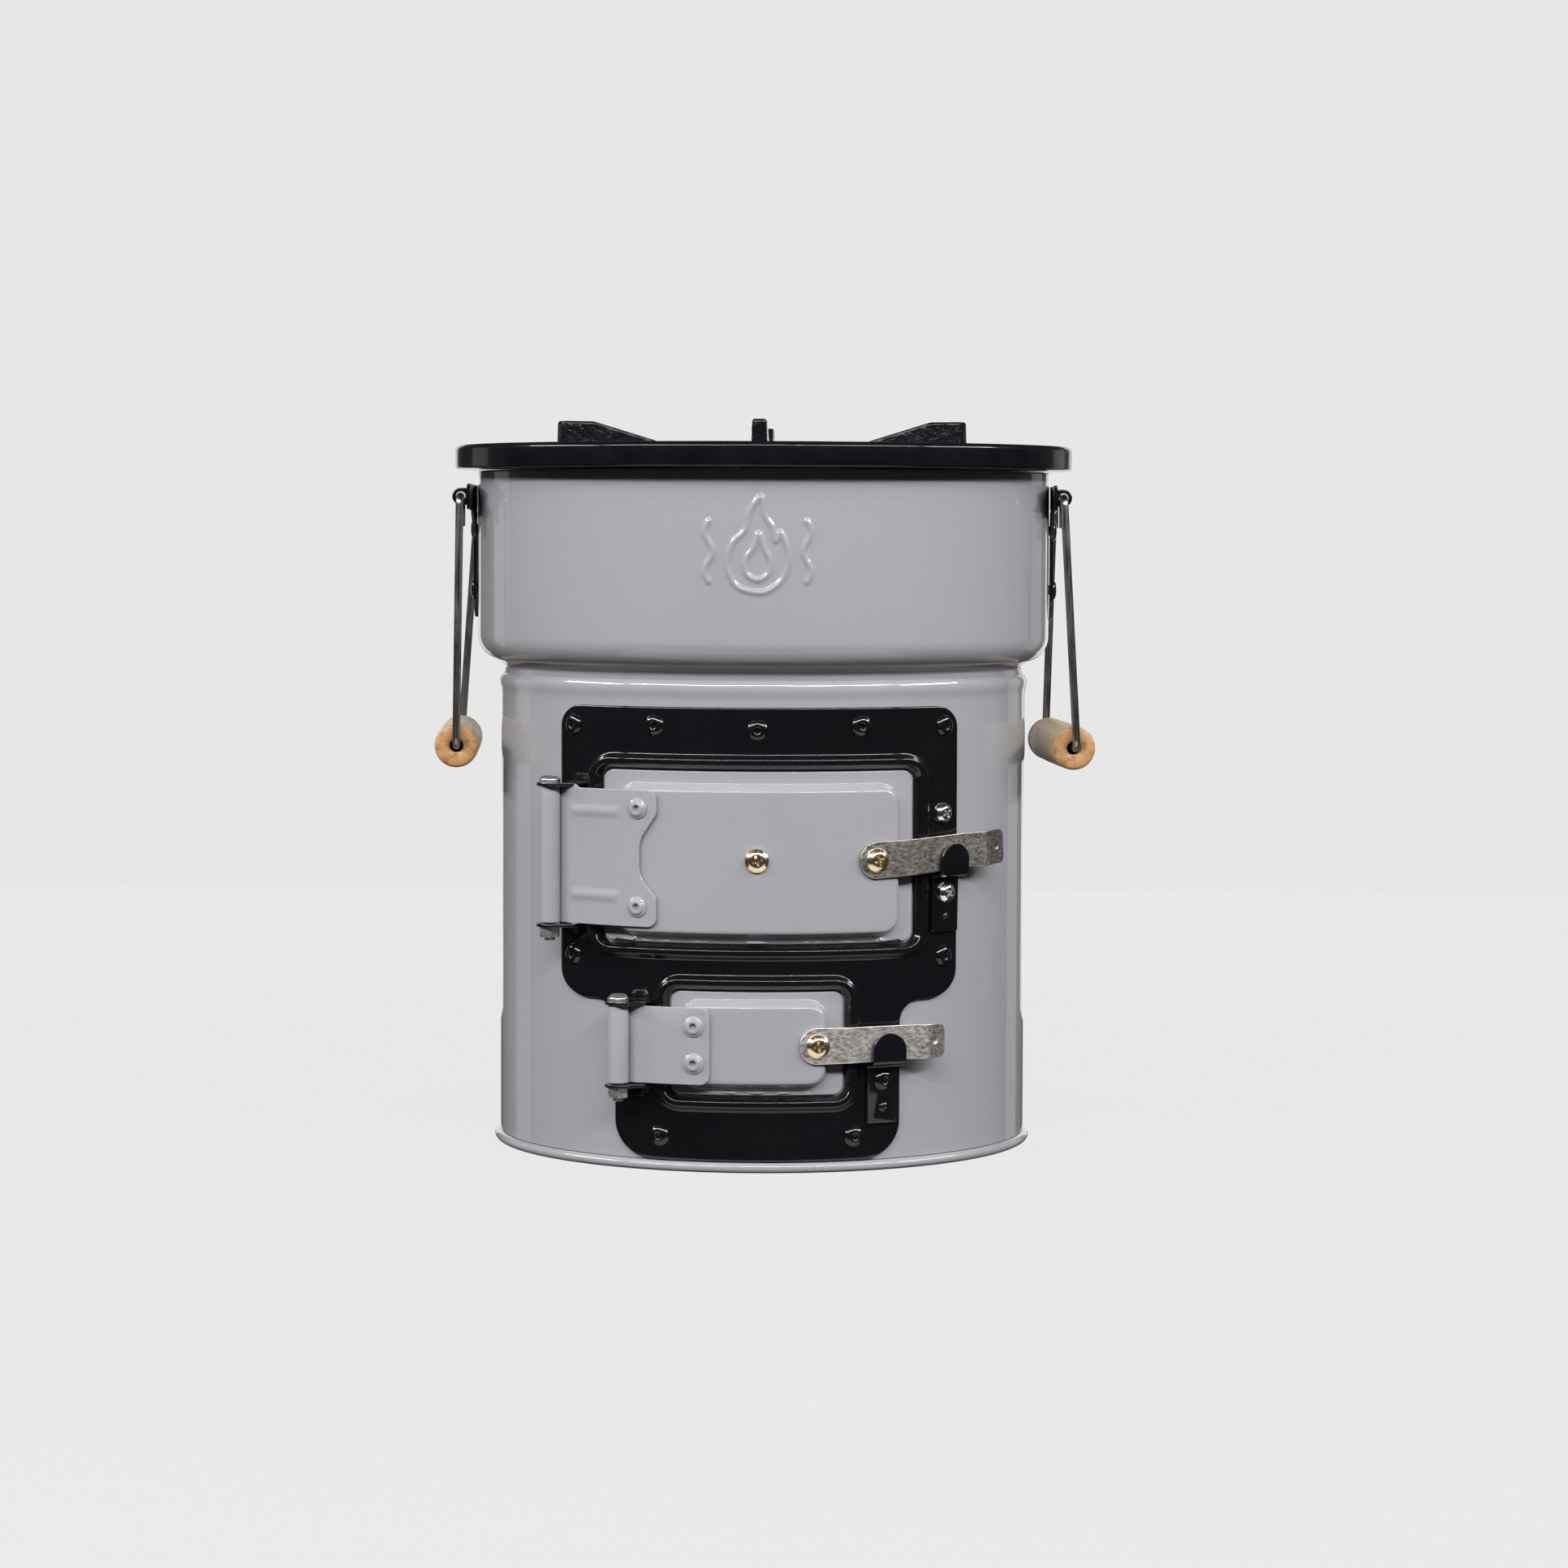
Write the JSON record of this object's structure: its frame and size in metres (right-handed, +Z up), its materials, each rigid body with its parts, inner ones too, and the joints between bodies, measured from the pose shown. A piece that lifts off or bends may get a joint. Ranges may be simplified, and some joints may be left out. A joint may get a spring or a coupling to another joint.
{
  "type": "rocket stove",
  "caption": "Portable wood-burning rocket stove: round enamelled shell, cast iron top with radial pot fins, latched fuel and ash doors, and wire bail handles with wooden grips.",
  "frame": {"origin": "centre of the base, on the body's axis", "axes": "+Z up, the doors face -Y, +X towards the right-hand handle as seen from the front"},
  "size_m": [0.2924, 0.272, 0.316],
  "materials": {
    "grey_enamel": "gloss",
    "black_enamel": "gloss",
    "cast_iron": "satin",
    "bright_steel": "polished",
    "spring_steel": "satin",
    "yellow_zinc": "polished",
    "wire_steel": "satin",
    "wood": "satin",
    "chamber_steel": "matte",
    "ceramic": "matte",
    "mineral_wool": "matte"
  },
  "bodies": {
    "stove_body": {"lower_shell": "grey_enamel", "upper_shell": "grey_enamel", "base_pan": "grey_enamel", "cast_iron_top": "cast_iron", "top_pan": "chamber_steel", "riser_tube": "chamber_steel", "fire_box": "chamber_steel", "ash_box": "chamber_steel", "fuel_tunnel": "chamber_steel", "ash_tunnel": "chamber_steel", "insulation_fill": "mineral_wool", "floor_tile": "ceramic", "fire_grate": "cast_iron", "door_frame": "black_enamel", "frame_rivet_top_left": "black_enamel", "frame_rivet_top_mid_left": "black_enamel", "frame_rivet_top_centre": "black_enamel", "frame_rivet_top_mid_right": "black_enamel", "frame_rivet_top_right": "black_enamel", "frame_rivet_side_left": "black_enamel", "frame_rivet_side_right": "black_enamel", "frame_rivet_bottom_left": "black_enamel", "frame_rivet_bottom_right": "black_enamel", "frame_screw_upper": "bright_steel", "fuel_keeper": "black_enamel", "fuel_keeper_screw": "bright_steel", "ash_keeper": "black_enamel", "ash_keeper_rivet": "black_enamel", "fuel_hinge_bracket": "black_enamel", "ash_hinge_bracket": "black_enamel", "fuel_hinge_bolt": "bright_steel", "fuel_hinge_nut": "bright_steel", "ash_hinge_bolt": "bright_steel", "ash_hinge_nut": "bright_steel", "left_handle_bracket": "black_enamel", "right_handle_bracket": "black_enamel", "left_bracket_rivet_upper": "black_enamel", "left_bracket_rivet_lower": "black_enamel", "right_bracket_rivet_upper": "black_enamel", "right_bracket_rivet_lower": "black_enamel"},
    "fuel_door": {"fuel_door_panel": "grey_enamel", "fuel_hinge_strap": "grey_enamel", "fuel_strap_rivet_upper": "grey_enamel", "fuel_strap_rivet_lower": "grey_enamel", "fuel_door_liner": "chamber_steel", "fuel_door_screw": "yellow_zinc", "fuel_latch_screw": "yellow_zinc"},
    "fuel_latch": {"fuel_latch_lever": "spring_steel"},
    "ash_door": {"ash_door_panel": "grey_enamel", "ash_hinge_strap": "grey_enamel", "ash_strap_rivet_upper": "grey_enamel", "ash_strap_rivet_lower": "grey_enamel", "ash_latch_screw": "yellow_zinc"},
    "ash_latch": {"ash_latch_lever": "spring_steel"},
    "left_handle": {"left_bail": "wire_steel"},
    "right_handle": {"right_bail": "wire_steel"},
    "left_handle_grip": {"left_grip": "wood"},
    "right_handle_grip": {"right_grip": "wood"}
  },
  "joints": [
    {"name": "fuel_door_hinge", "type": "hinge", "parent": "stove_body", "child": "fuel_door", "pos_m": [-0.08827, -0.09269, 0.13205], "axis": [0, 0, -1], "range_deg": [0, 120]},
    {"name": "fuel_latch_pivot", "type": "hinge", "parent": "fuel_door", "child": "fuel_latch", "pos_m": [0.0499, -0.11313, 0.1317], "axis": [0.4035, -0.915, 0], "range_deg": [0, 26]},
    {"name": "ash_door_hinge", "type": "hinge", "parent": "stove_body", "child": "ash_door", "pos_m": [-0.05811, -0.11405, 0.05405], "axis": [0, 0, -1], "range_deg": [0, 120]},
    {"name": "ash_latch_pivot", "type": "hinge", "parent": "ash_door", "child": "ash_latch", "pos_m": [0.0255, -0.12099, 0.0543], "axis": [0.2062, -0.9785, 0], "range_deg": [0, 33]},
    {"name": "left_bail_swing", "type": "hinge", "parent": "stove_body", "child": "left_handle", "pos_m": [-0.1304, 0, 0.2835], "axis": [0, 1, 0], "range_deg": [0, 150]},
    {"name": "right_bail_swing", "type": "hinge", "parent": "stove_body", "child": "right_handle", "pos_m": [0.1304, 0, 0.2835], "axis": [0, -1, 0], "range_deg": [0, 150]},
    {"name": "left_grip_spin", "type": "hinge", "parent": "left_handle", "child": "left_handle_grip", "pos_m": [-0.135, 0, 0.1755], "axis": [-0.0628, 0.998, 0], "continuous": true},
    {"name": "right_grip_spin", "type": "hinge", "parent": "right_handle", "child": "right_handle_grip", "pos_m": [0.132, 0, 0.1755], "axis": [-0.0802, 0.9968, 0], "continuous": true}
  ]
}
